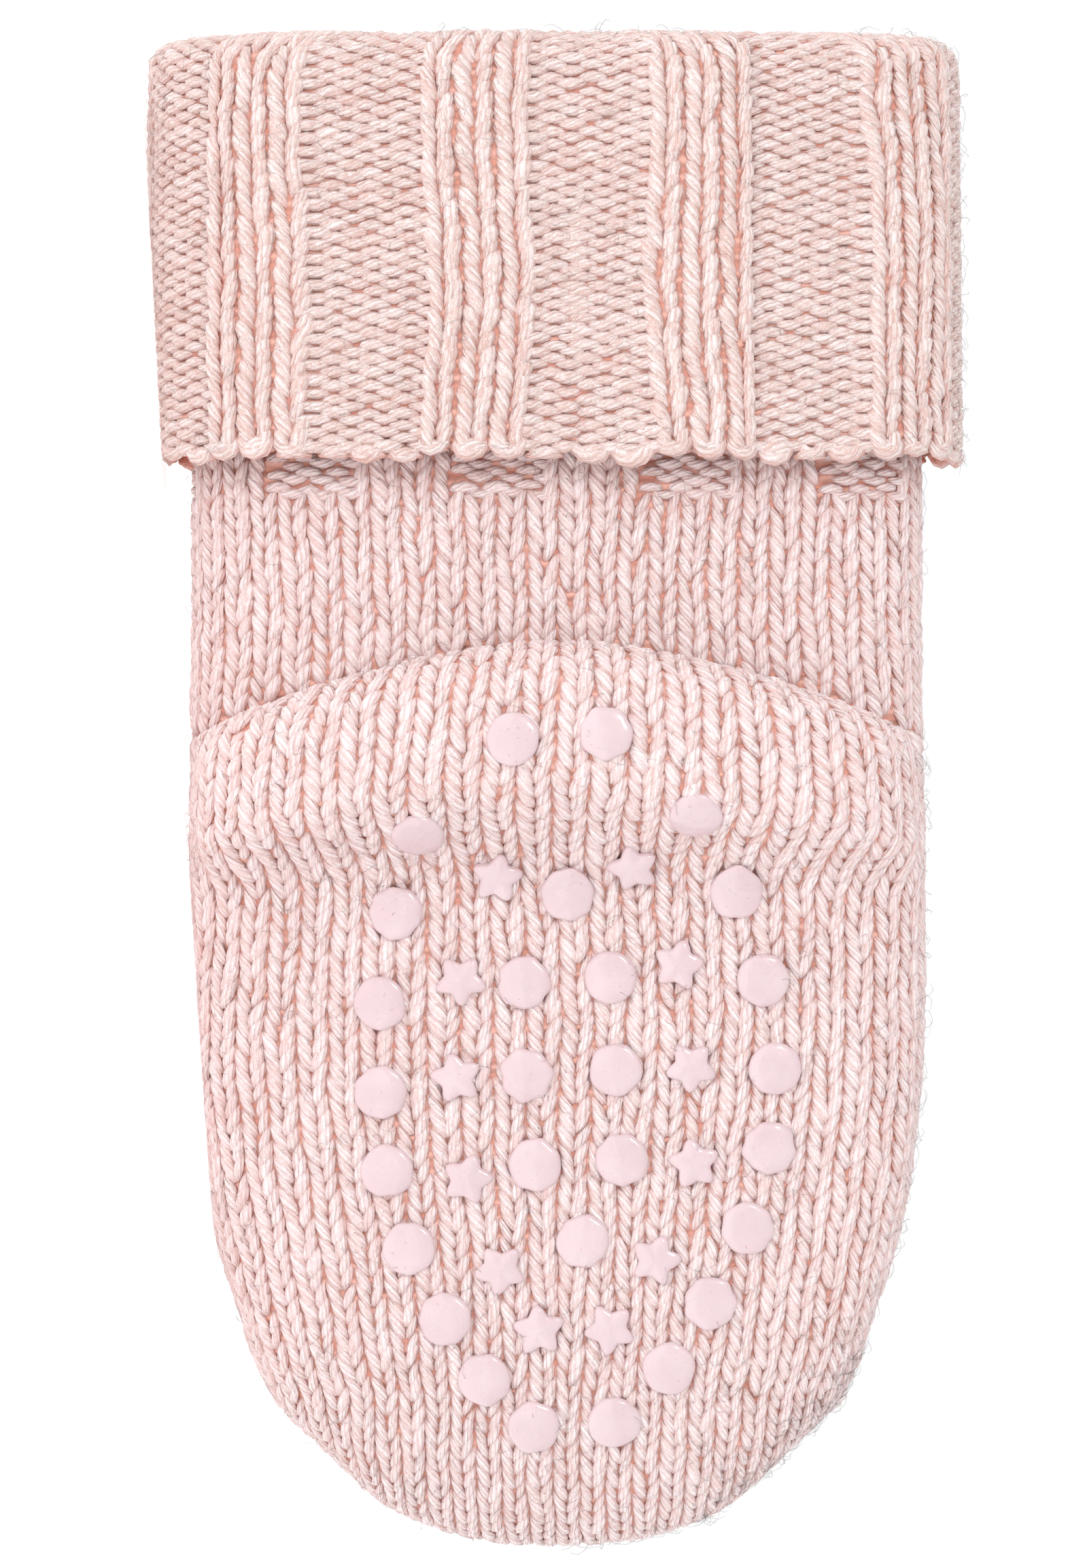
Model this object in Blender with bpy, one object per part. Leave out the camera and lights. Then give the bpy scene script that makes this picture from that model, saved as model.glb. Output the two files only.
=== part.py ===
"""A child's knitted slipper sock with a turned-down ribbed cuff and a rubber grip print on its sole.

The sock is worked out in its own three lengths first. Along runs from the tip of the toe to the fold
of the cuff, across runs over the width of the sole, and deep runs from the sole to the instep. It is
then laid down on one long edge: along points to -X, across points up, and the sole faces -Y.
"""

import math
from collections import namedtuple

import bmesh
import bpy
import numpy as np
from mathutils import Matrix, Vector
from mathutils.bvhtree import BVHTree

MM = 0.001

# Foot and leg
FOOT_LENGTH = 92.0 * MM  # tip of the toe to the rim of the heel pouch
LEG_LENGTH = 63.6 * MM  # that rim to the fold of the cuff
FOOT_WIDTH = 75.6 * MM
LEG_WIDTH = 75.2 * MM
SOLE_DEPTH = 12.0 * MM  # from the widest line of the section out to the sole
INSTEP_DEPTH = 17.0 * MM  # and out to the instep
CALF_DEPTH = 10.5 * MM  # the same two at the leg, behind and in front
SHIN_DEPTH = 13.5 * MM
WALL = 2.4 * MM  # the knitted fabric
LEG_LEAN = math.radians(9.0)  # of the leg towards the instep

# Squareness of a section: 2 is an ellipse, more is flatter with rounder corners
SOLE_SQUARE = 3.4
INSTEP_SQUARE = 2.5
LEG_SQUARE = 2.9

# Heel pouch
HEEL_DEPTH = 8.0 * MM  # how far it stands out of the sole
HEEL_LENGTH = 24.0 * MM  # along, from its rim to where it runs out into the sole
HEEL_FALL = 0.48  # share of that length over which it falls to the sole
HEEL_ARCH = 9.0 * MM  # how far the ends of the rim lie below its middle
ARCH_POWER = 1.6
ARCH_BELOW = 1.4  # the rings bow with the rim over this share of the heel's length below it
ARCH_ABOVE = 0.8  # and over this share above it
RIM_RADIUS = 5.0 * MM
RIM_TUCK = math.radians(35.0)  # how far the rim curls back in under itself

# Cuff
CUFF_DROP = 43.6 * MM  # fold to hem
CUFF_WALL = 3.0 * MM  # the ribbed fabric
CUFF_EASE = 1.2 * MM  # air between the leg and the turned layer
COLLAR_SET = 2.0 * MM  # top edge of the leg, below where the fold starts to turn
RIB_RISE = 0.6 * MM  # of a rib over the purl panels
RIB_REPEATS = 9
RIB_WALES = 3  # wales in a rib, and as many in the panel beside it
RIB_SHIFT = 3.2 * MM  # middle of a purl panel, across from the middle of the calf

# Toe seam
SEAM_RADIUS = 0.8 * MM
SEAM_SET = 5.0 * MM  # along, at its middle over the toes
SEAM_CORNER = 16.3 * MM  # along, at both ends
SEAM_RIGHT = math.radians(91.0)  # where it ends, turned from the middle of the sole
SEAM_LEFT = math.radians(256.0)

# Grip print
DOT_DIAMETER = 5.4 * MM
STAR_DIAMETER = 5.3 * MM
STAR_WAIST = 0.6  # inner corners, as a share of the outer ones
GRIP_HEIGHT = 0.8 * MM
PRINT_TILT = 0.06  # how far the print leans: rise along for each length across

FIT = 0.3 * MM  # between pieces that touch
SINK = 1.0 * MM  # how far the resting edge gives way under its own weight
REST_STATION = 0.60  # of the foot's length, where the foot touches the floor
HEM_REST = 3.0 * MM  # from the hem to where the cuff touches the floor

# Fineness of the solids
AROUND = 48
TOE_RINGS = 9
TOE_REACH = 0.52  # root of the station where the toe's rings end
FOOT_RINGS = 7
FALL_RINGS = 3
CROWN_RINGS = 2
RIM_RINGS = 5
LEG_RINGS = 8
HEM_STEPS = 3
CUFF_RINGS = 6
FOLD_STEPS = 6
LINING_RINGS = 3
SEAM_POINTS = 31
SECTION_STEPS = 360
DOT_SIDES = 10

Section = namedtuple("Section", "station width sole instep")
# Station is a share of the foot's length, and the others of half the foot's width and of its two depths
SECTIONS = [
    Section(0.000, 0.000, 0.00, 0.00),
    Section(0.017, 0.300, 0.36, 0.22),
    Section(0.040, 0.440, 0.54, 0.35),
    Section(0.077, 0.553, 0.71, 0.49),
    Section(0.115, 0.648, 0.83, 0.61),
    Section(0.153, 0.742, 0.91, 0.71),
    Section(0.190, 0.800, 0.96, 0.79),
    Section(0.270, 0.870, 1.00, 0.90),
    Section(0.380, 0.947, 1.00, 0.98),
    Section(0.530, 0.992, 1.00, 1.00),
    Section(0.720, 1.000, 1.00, 1.00),
    Section(1.000, 0.992, 1.00, 1.00),
]

GripRow = namedtuple("GripRow", "kind along left right")
# Along is a share of the foot's length, left and right of half its width. One with no right stands alone
GRIP_ROWS = [
    GripRow("dot", 0.903, -0.118, 0.130),
    GripRow("dot", 0.808, -0.372, 0.370),
    GripRow("dot", 0.720, -0.432, 0.480),
    GripRow("dot", 0.622, -0.475, 0.552),
    GripRow("dot", 0.524, -0.473, 0.584),
    GripRow("dot", 0.437, -0.456, 0.569),
    GripRow("dot", 0.350, -0.397, 0.510),
    GripRow("dot", 0.270, -0.300, 0.410),
    GripRow("dot", 0.201, -0.195, 0.300),
    GripRow("dot", 0.145, -0.063, 0.154),
    GripRow("star", 0.757, -0.165, 0.209),
    GripRow("star", 0.644, -0.257, 0.320),
    GripRow("star", 0.533, -0.267, 0.361),
    GripRow("star", 0.423, -0.246, 0.369),
    GripRow("star", 0.322, -0.150, 0.260),
    GripRow("star", 0.249, -0.048, 0.146),
    GripRow("dot", 0.729, 0.028, None),
    GripRow("dot", 0.635, -0.089, 0.143),
    GripRow("dot", 0.533, -0.083, 0.157),
    GripRow("dot", 0.434, -0.059, 0.174),
    GripRow("dot", 0.347, 0.069, None),
]
STAR_TURN = math.radians(23.0)  # each star is turned this much further than the one before

GripLayer = namedtuple("GripLayer", "size level")
# Size is a share of the outline, level a share of the grip's height
GRIP_LAYERS = [GripLayer(1.0, 0.0), GripLayer(1.0, 0.4), GripLayer(0.75, 0.85)]

LENGTH = FOOT_LENGTH + LEG_LENGTH
HEM = LENGTH - CUFF_DROP
CUFF_OUT = CUFF_EASE + CUFF_WALL  # outer face of the cuff over the outer face of the leg
FOLD_HEIGHT = (CUFF_OUT + WALL) / 2
FOLD_START = LENGTH - FOLD_HEIGHT
COLLAR = FOLD_START - COLLAR_SET
CROWN = FOOT_LENGTH - RIM_RADIUS * math.cos(RIM_TUCK)  # where the heel's rim starts to turn over


def smooth(x):
    """0 below 0, 1 above 1, and a soft step between."""
    t = np.clip(x, 0.0, 1.0)
    return t * t * (3.0 - 2.0 * t)


def mix(a, b, t):
    return a * (1.0 - t) + b * t


def share(column, along):
    """A column of SECTIONS, read by the root of the station, which keeps the toe round."""
    knots = np.sqrt([row.station for row in SECTIONS])
    values = np.array([getattr(row, column) for row in SECTIONS])
    slopes = np.gradient(values, knots)
    x = np.sqrt(np.clip(along / FOOT_LENGTH, 0.0, 1.0))
    i = np.clip(np.searchsorted(knots, x, side="right") - 1, 0, len(knots) - 2)
    gap = knots[i + 1] - knots[i]
    t = (x - knots[i]) / gap
    start = (1 + 2 * t) * (1 - t) ** 2 * values[i] + t * (1 - t) ** 2 * gap * slopes[i]
    end = t * t * (3 - 2 * t) * values[i + 1] + t * t * (t - 1) * gap * slopes[i + 1]
    return start + end


def pouch(along):
    """How far the heel stands out, from 0 to 1, and how far its rim hangs over towards the leg."""
    foot = FOOT_LENGTH - HEEL_LENGTH
    rise = smooth((along - foot) / (HEEL_LENGTH * HEEL_FALL))
    past_crown = np.clip((along - CROWN) / (FOOT_LENGTH - CROWN), 0.0, 1.0)
    angle = math.pi / 2 - past_crown * (math.pi / 2 + RIM_TUCK)
    out = (np.sin(angle) + math.sin(RIM_TUCK)) / (1 + math.sin(RIM_TUCK))
    over = FOOT_LENGTH + RIM_RADIUS * (np.cos(angle) - math.cos(RIM_TUCK)) - along
    on_rim = (along > CROWN) & (along < FOOT_LENGTH)
    return np.where(along < FOOT_LENGTH, rise * out, 0.0), np.where(on_rim, over, 0.0)


def lean(along):
    """How deep the middle of a section has moved, because the leg leans towards the instep."""
    bend = HEEL_LENGTH
    past = np.clip(along - (FOOT_LENGTH - bend / 2), 0.0, None)
    curved = np.minimum(past, bend) ** 2 / (2 * bend)
    return math.tan(LEG_LEAN) * (curved + np.maximum(past - bend, 0.0))


def sections(along, proud, turns):
    """Across and deep of points at those turns from the middle of the sole, with the section's sizes."""
    leg = smooth((along - FOOT_LENGTH + HEEL_LENGTH / 2) / HEEL_LENGTH)
    half = mix(FOOT_WIDTH / 2 * share("width", along), LEG_WIDTH / 2, leg) + proud
    out, over = pouch(along)
    sole = mix(SOLE_DEPTH * share("sole", along), CALF_DEPTH, leg) + HEEL_DEPTH * out + proud
    instep = mix(INSTEP_DEPTH * share("instep", along), SHIN_DEPTH, leg) + proud
    to_sole = np.cos(turns) > 0
    depth = np.where(to_sole, sole, instep)
    square = np.where(to_sole, mix(SOLE_SQUARE, LEG_SQUARE, leg), mix(INSTEP_SQUARE, LEG_SQUARE, leg))
    reach = (abs(np.cos(turns)) / depth) ** square + (abs(np.sin(turns)) / half) ** square
    radius = reach ** (-1 / square)
    return radius * np.sin(turns), -radius * np.cos(turns), half, sole, over


def place(along, turns, proud=0.0):
    """Points along, across and deep, where the rings bow down to both sides of the heel."""
    across, deep, half, sole, over = sections(along, proud, turns)
    reach = np.where(along < FOOT_LENGTH, ARCH_BELOW, ARCH_ABOVE) * HEEL_LENGTH
    bow = 1 - smooth(abs(along - FOOT_LENGTH) / reach)
    hang = over * np.clip(-deep / sole, 0.0, 1.0)
    down = HEEL_ARCH * bow * (abs(across) / half) ** ARCH_POWER
    return np.stack([along - down + hang, across, deep + lean(along)], axis=-1)


def even_turns(along, proud, count, shift=0.0):
    """Turns of points spaced evenly round a section, the first one shift away from the sole's middle."""
    turns = np.linspace(0.0, 2 * math.pi, SECTION_STEPS + 1)
    across, deep, *_ = sections(np.full(turns.shape, along), proud, turns)
    steps = np.hypot(np.diff(across), np.diff(deep))
    walked = np.concatenate([[0.0], np.cumsum(steps)])
    wanted = (np.arange(count) / count * walked[-1] + shift) % walked[-1]
    return np.interp(wanted, walked, turns)


def ring(along, proud=0.0, count=AROUND, shift=0.0, rise=0.0):
    """One ring of evenly spaced points, each raised by its own rise."""
    turns = even_turns(along, proud, count, shift)
    return place(np.full(count, along), turns, proud + rise)


def rest_line():
    """The two points that touch the floor, along and across, and the tilt that levels them."""
    foot = REST_STATION * FOOT_LENGTH
    cuff = HEM + HEM_REST
    foot_half = sections(np.array([foot]), 0.0, np.zeros(1))[2][0]
    cuff_half = sections(np.array([cuff]), CUFF_OUT, np.zeros(1))[2][0]
    return foot, foot_half, math.atan2(cuff_half - foot_half, cuff - foot)


def lay_down(points, lowest=0.0):
    """Turns the sock's own lengths into x, y and z on the floor. Nothing goes below lowest."""
    foot, foot_half, tilt = rest_line()
    along = points[..., 0] - foot
    across = points[..., 1] + foot_half
    x = across * math.sin(tilt) - along * math.cos(tilt)
    z = along * math.sin(tilt) + across * math.cos(tilt) - SINK
    return np.stack([x, points[..., 2], np.maximum(z, lowest)], axis=-1)


def material(name, colour, roughness):
    made = bpy.data.materials.new(name)
    made.use_nodes = True
    shader = made.node_tree.nodes["Principled BSDF"]
    shader.inputs["Base Color"].default_value = (*colour, 1.0)
    shader.inputs["Roughness"].default_value = roughness
    return made


def add_object(name, data, finish):
    thing = bpy.data.objects.new(name, data)
    thing.data.materials.append(finish)
    bpy.context.collection.objects.link(thing)
    return thing


def mesh_from(name, bm):
    bmesh.ops.recalc_face_normals(bm, faces=bm.faces)
    mesh = bpy.data.meshes.new(name)
    bm.to_mesh(mesh)
    bm.free()
    mesh.shade_smooth()
    return mesh


def loft(bm, rings, closed=False):
    """Quads between neighbouring rings of points, and from the last to the first if closed."""
    rows = [[bm.verts.new(point) for point in points] for points in rings]
    pairs = list(zip(rows, rows[1:]))
    if closed:
        pairs.append((rows[-1], rows[0]))
    for low, high in pairs:
        for i in range(len(low)):
            j = (i + 1) % len(low)
            bm.faces.new((low[i], low[j], high[j], high[i]))
    return rows


def body_stations():
    """Lengths along of the body's rings, closer together at the toe and over the heel's rim."""
    foot = FOOT_LENGTH - HEEL_LENGTH
    fall_end = foot + HEEL_LENGTH * HEEL_FALL
    toe = FOOT_LENGTH * (TOE_REACH * np.arange(1, TOE_RINGS + 1) / TOE_RINGS) ** 2
    parts = [
        toe,
        np.linspace(toe[-1], foot, FOOT_RINGS + 1)[1:],
        np.linspace(foot, fall_end, FALL_RINGS + 1)[1:],
        np.linspace(fall_end, CROWN, CROWN_RINGS + 1)[1:],
        np.linspace(CROWN, FOOT_LENGTH, RIM_RINGS + 1)[1:],
        np.linspace(FOOT_LENGTH, COLLAR, LEG_RINGS + 1)[1:],
    ]
    return np.concatenate(parts)


def make_body(finish):
    """Foot, heel pouch and leg as one wall, closed at the toe and open at the collar."""
    bm = bmesh.new()
    rings = []
    for along in body_stations():
        under_cuff = CUFF_WALL + FIT if along > HEM - CUFF_EASE else 0.0
        rings.append(lay_down(ring(along), under_cuff))
    rows = loft(bm, rings)
    tip = bm.verts.new(lay_down(np.zeros(3)))
    for i, corner in enumerate(rows[0]):
        bm.faces.new((tip, rows[0][(i + 1) % AROUND], corner))
    body = add_object("sock_body", mesh_from("sock_body", bm), finish)
    wall = body.modifiers.new("wall", "SOLIDIFY")
    wall.thickness = WALL
    wall.offset = -1.0
    wall.use_even_offset = True
    return body


def arc(middle, radius, start, end, steps):
    """Points (along, proud) of an arc round middle. Angle 0 points up along, 90 degrees outwards."""
    angles = np.radians(np.linspace(start, end, steps + 1))
    return [(middle[0] + radius * math.cos(a), middle[1] + radius * math.sin(a)) for a in angles]


def cuff_profile():
    """The cuff's cut face (along, proud), once round: hem, outer face, fold, inner end and back down."""
    half_wall = CUFF_WALL / 2
    hem = arc((HEM + half_wall, CUFF_EASE + half_wall), half_wall, 270, 90, HEM_STEPS)
    outside = [(a, CUFF_OUT) for a in np.linspace(HEM + half_wall, FOLD_START, CUFF_RINGS + 1)[1:-1]]
    fold = arc((FOLD_START, (CUFF_OUT - WALL) / 2), FOLD_HEIGHT, 90, -90, FOLD_STEPS)
    slant = WALL * math.tan(LEG_LEAN)  # the leaning leg's edge is cut square to its wall
    end = [(COLLAR + FIT + slant, -WALL), (COLLAR + FIT, 0.0)]
    crook = arc((FOLD_START, CUFF_EASE / 2), CUFF_EASE / 2, -90, 90, 2)
    inside = [(a, CUFF_EASE) for a in np.linspace(FOLD_START, HEM + half_wall, LINING_RINGS + 1)[1:-1]]
    return hem + outside + fold + end + crook + inside


def rib_rise():
    """The rise of each wale round the cuff. The first one is the middle of a purl panel."""
    wales = np.arange(RIB_REPEATS * 2 * RIB_WALES) + RIB_WALES // 2
    return np.where(wales // RIB_WALES % 2 == 1, RIB_RISE, 0.0)


def make_cuff(finish):
    """The ribbed top, folded outwards at the collar and turned down over the leg."""
    bm = bmesh.new()
    rises = rib_rise()
    rings = []
    for along, proud in cuff_profile():
        rise = rises * smooth((proud - CUFF_EASE) / CUFF_WALL)
        points = ring(along, proud, len(rises), RIB_SHIFT, rise)
        rings.append(lay_down(points, CUFF_OUT - max(proud, CUFF_EASE)))
    loft(bm, rings, closed=True)
    return add_object("turned_cuff", mesh_from("turned_cuff", bm), finish)


def make_toe_seam(finish):
    """The linked seam, a cord that lies over the toes from one corner of the toe to the other."""
    t = np.linspace(-1.0, 1.0, SEAM_POINTS)
    turns = np.interp(t, [-1.0, 0.0, 1.0], [SEAM_LEFT, math.pi, SEAM_RIGHT])
    along = SEAM_SET + (SEAM_CORNER - SEAM_SET) * t * t
    points = lay_down(place(along, turns, SEAM_RADIUS + FIT))
    curve = bpy.data.curves.new("toe_seam", "CURVE")
    curve.dimensions = "3D"
    curve.bevel_depth = SEAM_RADIUS
    curve.bevel_resolution = 2
    curve.use_fill_caps = True
    spline = curve.splines.new("POLY")
    spline.points.add(len(points) - 1)
    for knot, point in zip(spline.points, points):
        knot.co = (*point, 1.0)
    return add_object("toe_seam", curve, finish)


def dot_outline():
    angles = np.arange(DOT_SIDES) * 2 * math.pi / DOT_SIDES
    return DOT_DIAMETER / 2 * np.stack([np.cos(angles), np.sin(angles)], axis=-1)


def star_outline(turn):
    """Five points and five waists, the first point turned from along."""
    angles = np.arange(10) * math.pi / 5 + turn
    radii = STAR_DIAMETER / 2 * np.where(np.arange(10) % 2 == 0, 1.0, STAR_WAIST)
    return radii[:, None] * np.stack([np.cos(angles), np.sin(angles)], axis=-1)


def print_grip(name, outline, along, across, sole, finish):
    """A low rubber dome of that outline on the sole. It follows the fabric under it."""
    start = Vector(lay_down(np.array([along, across, -2 * (SOLE_DEPTH + HEEL_DEPTH)])))
    seat, normal, *_ = sole.ray_cast(start, Vector((0, 1, 0)))
    side = normal.cross(Vector((1, 0, 0))).normalized()
    up = side.cross(normal)

    def on_sole(offset, level):
        point = seat + up * offset[0] + side * offset[1]
        hit = sole.ray_cast(point + normal * DOT_DIAMETER, -normal)[0]
        return hit + normal * (FIT + level * GRIP_HEIGHT)

    bm = bmesh.new()
    rows = loft(bm, [[on_sole(size * p, level) for p in outline] for size, level in GRIP_LAYERS])
    for row, level in ((rows[0], 0.0), (rows[-1], 1.0)):
        middle = bm.verts.new(on_sole((0.0, 0.0), level))
        for i, corner in enumerate(row):
            bm.faces.new((corner, row[(i + 1) % len(row)], middle))
    return add_object(name, mesh_from(name, bm), finish)


def make_grips(sole, finish):
    """The print: a ring of dots, a ring of stars inside it and a few dots in the middle."""
    made = {"dot": 0, "star": 0}
    for row in GRIP_ROWS:
        middle = (row.left + row.right) / 2 if row.right is not None else row.left
        for across in (row.left, row.right):
            if across is None:
                continue
            made[row.kind] += 1
            outline = dot_outline() if row.kind == "dot" else star_outline(STAR_TURN * made["star"])
            side = across * FOOT_WIDTH / 2
            along = row.along * FOOT_LENGTH + PRINT_TILT * (across - middle) * FOOT_WIDTH / 2
            print_grip(f"grip_{row.kind}_{made[row.kind]:02d}", outline, along, side, sole, finish)


def centre_on_floor(things):
    """Moves everything so that the middle of its box stands over the origin."""
    bpy.context.view_layer.update()
    corners = np.array([thing.matrix_world @ Vector(c) for thing in things for c in thing.bound_box])
    middle = (corners.min(axis=0) + corners.max(axis=0)) / 2
    for thing in things:
        thing.data.transform(Matrix.Translation((-middle[0], -middle[1], 0.0)))


def main():
    for thing in list(bpy.data.objects):
        bpy.data.objects.remove(thing, do_unlink=True)
    body = make_body(material("plain_knit", (0.79, 0.60, 0.56), 0.9))
    make_cuff(material("rib_knit", (0.77, 0.58, 0.53), 0.9))
    make_toe_seam(material("seam_yarn", (0.80, 0.62, 0.58), 0.9))
    sole = BVHTree.FromObject(body, bpy.context.evaluated_depsgraph_get())
    make_grips(sole, material("grip_rubber", (0.90, 0.72, 0.73), 0.35))
    centre_on_floor(list(bpy.data.objects))


main()
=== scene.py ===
"""The looks of the slipper sock: each stitch of its knit, the rubber print and the linked toe seam.

The sock's own lengths are the construction's. Along runs from the tip of the toe to the fold of the
cuff, across over the width of the sole, and deep from the sole to the instep. The sock then lies on one
long edge. Every stitch is laid out by wale (a column of stitches) and by course (a row of them).
"""

import math
from collections import namedtuple

import bpy
import numpy as np
from mathutils import Matrix, Vector
from mathutils.bvhtree import BVHTree


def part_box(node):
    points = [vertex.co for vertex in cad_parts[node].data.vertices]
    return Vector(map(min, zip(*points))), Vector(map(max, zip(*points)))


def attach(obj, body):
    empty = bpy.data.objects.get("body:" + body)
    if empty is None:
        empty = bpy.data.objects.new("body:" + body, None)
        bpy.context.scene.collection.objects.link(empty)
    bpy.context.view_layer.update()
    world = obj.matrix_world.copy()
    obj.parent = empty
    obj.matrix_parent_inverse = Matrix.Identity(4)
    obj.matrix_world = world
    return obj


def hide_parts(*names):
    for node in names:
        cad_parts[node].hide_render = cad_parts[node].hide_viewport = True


MM = 0.001

# Foot and leg, as in the construction
FOOT_LENGTH = 92.0 * MM
LEG_LENGTH = 63.6 * MM
FOOT_WIDTH = 75.6 * MM
LEG_WIDTH = 75.2 * MM
SOLE_DEPTH = 12.0 * MM
INSTEP_DEPTH = 17.0 * MM
CALF_DEPTH = 10.5 * MM
SHIN_DEPTH = 13.5 * MM
WALL = 2.4 * MM
LEG_LEAN = math.radians(9.0)
SOLE_SQUARE = 3.4
INSTEP_SQUARE = 2.5
LEG_SQUARE = 2.9

# Heel pouch
HEEL_DEPTH = 8.0 * MM
HEEL_LENGTH = 24.0 * MM
HEEL_FALL = 0.48
HEEL_ARCH = 9.0 * MM
ARCH_POWER = 1.6
ARCH_BELOW = 1.4
ARCH_ABOVE = 0.8
RIM_RADIUS = 5.0 * MM
RIM_TUCK = math.radians(35.0)

# Cuff
CUFF_DROP = 43.6 * MM
CUFF_WALL = 3.0 * MM
CUFF_EASE = 1.2 * MM
COLLAR_SET = 2.0 * MM
RIB_RISE = 0.6 * MM
RIB_REPEATS = 9
RIB_WALES = 3
RIB_SHIFT = 3.2 * MM

# Toe seam
SEAM_SET = 5.0 * MM
SEAM_CORNER = 16.3 * MM
SEAM_RIGHT = math.radians(91.0)
SEAM_LEFT = math.radians(256.0)
SEAM_TUCK = 3.0 * MM  # of its length at each end, over which it sinks into the knit
SEAM_DIVE = 1.3 * MM  # how deep it sinks there
SEAM_PITCH = 1.25 * MM  # from one stitch of a row to the next
SEAM_MESS = 0.12 * MM

# Grip print
DOT_DIAMETER = 5.4 * MM
STAR_DIAMETER = 5.3 * MM
STAR_WAIST = 0.6
GRIP_HEIGHT = 0.8 * MM
STAR_TURN = math.radians(23.0)  # each star is turned this much further than the one before
GRIP_SIDES = 40
GRIP_WAVE = 0.014  # unevenness of a grip's edge, as a share of its reach
GRIP_RAISE = 0.05 * MM
GRIP_PROFILE = [  # shares of its reach and of its height, from its foot in the knit to its crown
    (0.900, -0.45), (0.985, -0.10), (1.000, 0.15), (0.985, 0.42), (0.930, 0.66),
    (0.820, 0.80), (0.640, 0.88), (0.420, 0.92), (0.200, 0.94),
]
GRIP_CROWN = 0.95

# How it lies
SINK = 1.0 * MM  # how far the resting edge gives way
REST_STATION = 0.60  # of the foot's length, where the foot touches the floor
HEM_REST = 3.0 * MM  # from the hem to where the cuff touches it

Section = namedtuple("Section", "station width sole instep")
SECTIONS = [Section(*shares) for shares in (  # of the foot's length, width and depths
    (0.000, 0.000, 0.00, 0.00),
    (0.017, 0.300, 0.36, 0.22),
    (0.040, 0.440, 0.54, 0.35),
    (0.077, 0.553, 0.71, 0.49),
    (0.115, 0.648, 0.83, 0.61),
    (0.153, 0.742, 0.91, 0.71),
    (0.190, 0.800, 0.96, 0.79),
    (0.270, 0.870, 1.00, 0.90),
    (0.380, 0.947, 1.00, 0.98),
    (0.530, 0.992, 1.00, 1.00),
    (0.720, 1.000, 1.00, 1.00),
    (1.000, 0.992, 1.00, 1.00),
)]

LENGTH = FOOT_LENGTH + LEG_LENGTH
HEM = LENGTH - CUFF_DROP
CUFF_OUT = CUFF_EASE + CUFF_WALL
FOLD_HEIGHT = (CUFF_OUT + WALL) / 2
FOLD_START = LENGTH - FOLD_HEIGHT
COLLAR = FOLD_START - COLLAR_SET
CROWN = FOOT_LENGTH - RIM_RADIUS * math.cos(RIM_TUCK)

# The knit
WALES = RIB_REPEATS * 2 * RIB_WALES
HALF_WALES = WALES / 4  # of the sole's side, on each side of its middle
COURSE = 1.6 * MM  # rise of one row of the plain knit
RIB_COURSE = 1.38 * MM
TOE_NARROWING = 0.04  # how much closer the wales stand at the tip than at the toe's corners
KNIT_TOP = HEM + 1.4 * MM  # the plain knit shows up to here
TURN_INSIDE = 6.5 * MM  # how far down inside the collar the ribbing is worked out
PURL_ROWS = 5  # of the leg's own ribbing, seen under the hem
WALE_SHIFT = 1  # the cuff's wale 0 continues this wale of the leg
TABLE_STEP = 0.25  # fineness of the tables of places, in wales and in courses
TUBE_SIDES = 6
SWAY = 0.10  # how far the wales wander, in wales
SKIN_DEPTH = 0.50 * MM  # of the ground under the stitches
BODY_SIDES = 96  # points round the ground of the body, and of the cuff
CUFF_SIDES = 108
GROUND_LIFT = 0.9 * MM  # of the ground's lowest points over the floor
TIP_LEAD = 0.4 * MM  # of the ground's end at the toe past its first ring
TOE_HOLLOW = 4.5 * MM  # the ground is hollow from here on, along
PAST_ENDS = 9.0  # courses by which a wale's line is carried on at both of its ends

# Where the knit is parted into pieces, in courses of the sole and of the instep
HEEL_END = -7
TOE_START = 20
INSTEP_SPLIT = 14  # below the last course of the leg

# Camera, from the photograph's scale on the sole
PICTURE = (1596, 2306)
PICTURE_SCALE = 0.0700 * MM  # of one pixel at the widest line of the sock
PICTURE_TIP = (819.0, 2272.0)  # pixel of the toe's tip
CAMERA_DISTANCE = 0.80
SENSOR = 36.0

# Floor and lamp
FLOOR_HALF = 4.0
FLOOR_GAP = 0.05 * MM  # between the floor and the sock's lowest point
KEY_FROM = (-0.5, -0.92, 0.52)
KEY_TO = (0.0, 0.0, 0.04)
KEY_SIZE = 0.24
KEY_POWER = 2.7


def smooth(x):
    t = np.clip(x, 0.0, 1.0)
    return t * t * (3.0 - 2.0 * t)


def mix(a, b, t):
    return a * (1.0 - t) + b * t


def unit(vectors):
    return vectors / (np.linalg.norm(vectors, axis=-1, keepdims=True) + 1e-12)


def walk_along(points):
    """Distance walked along a row of points, at each of them."""
    return np.cumsum(np.linalg.norm(np.diff(points, axis=0, prepend=points[:1]), axis=1))


def read_line(wanted, numbers, points):
    """Places on a row of points that stand at those numbers, for the wanted ones between them."""
    return np.stack([np.interp(wanted, numbers, points[:, axis]) for axis in range(3)], axis=-1)


def outwards(normals, from_middle):
    """The normals, all turned round if they point inwards on the whole."""
    return -normals if np.mean(np.sum(normals * from_middle, axis=-1)) < 0 else normals


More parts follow.
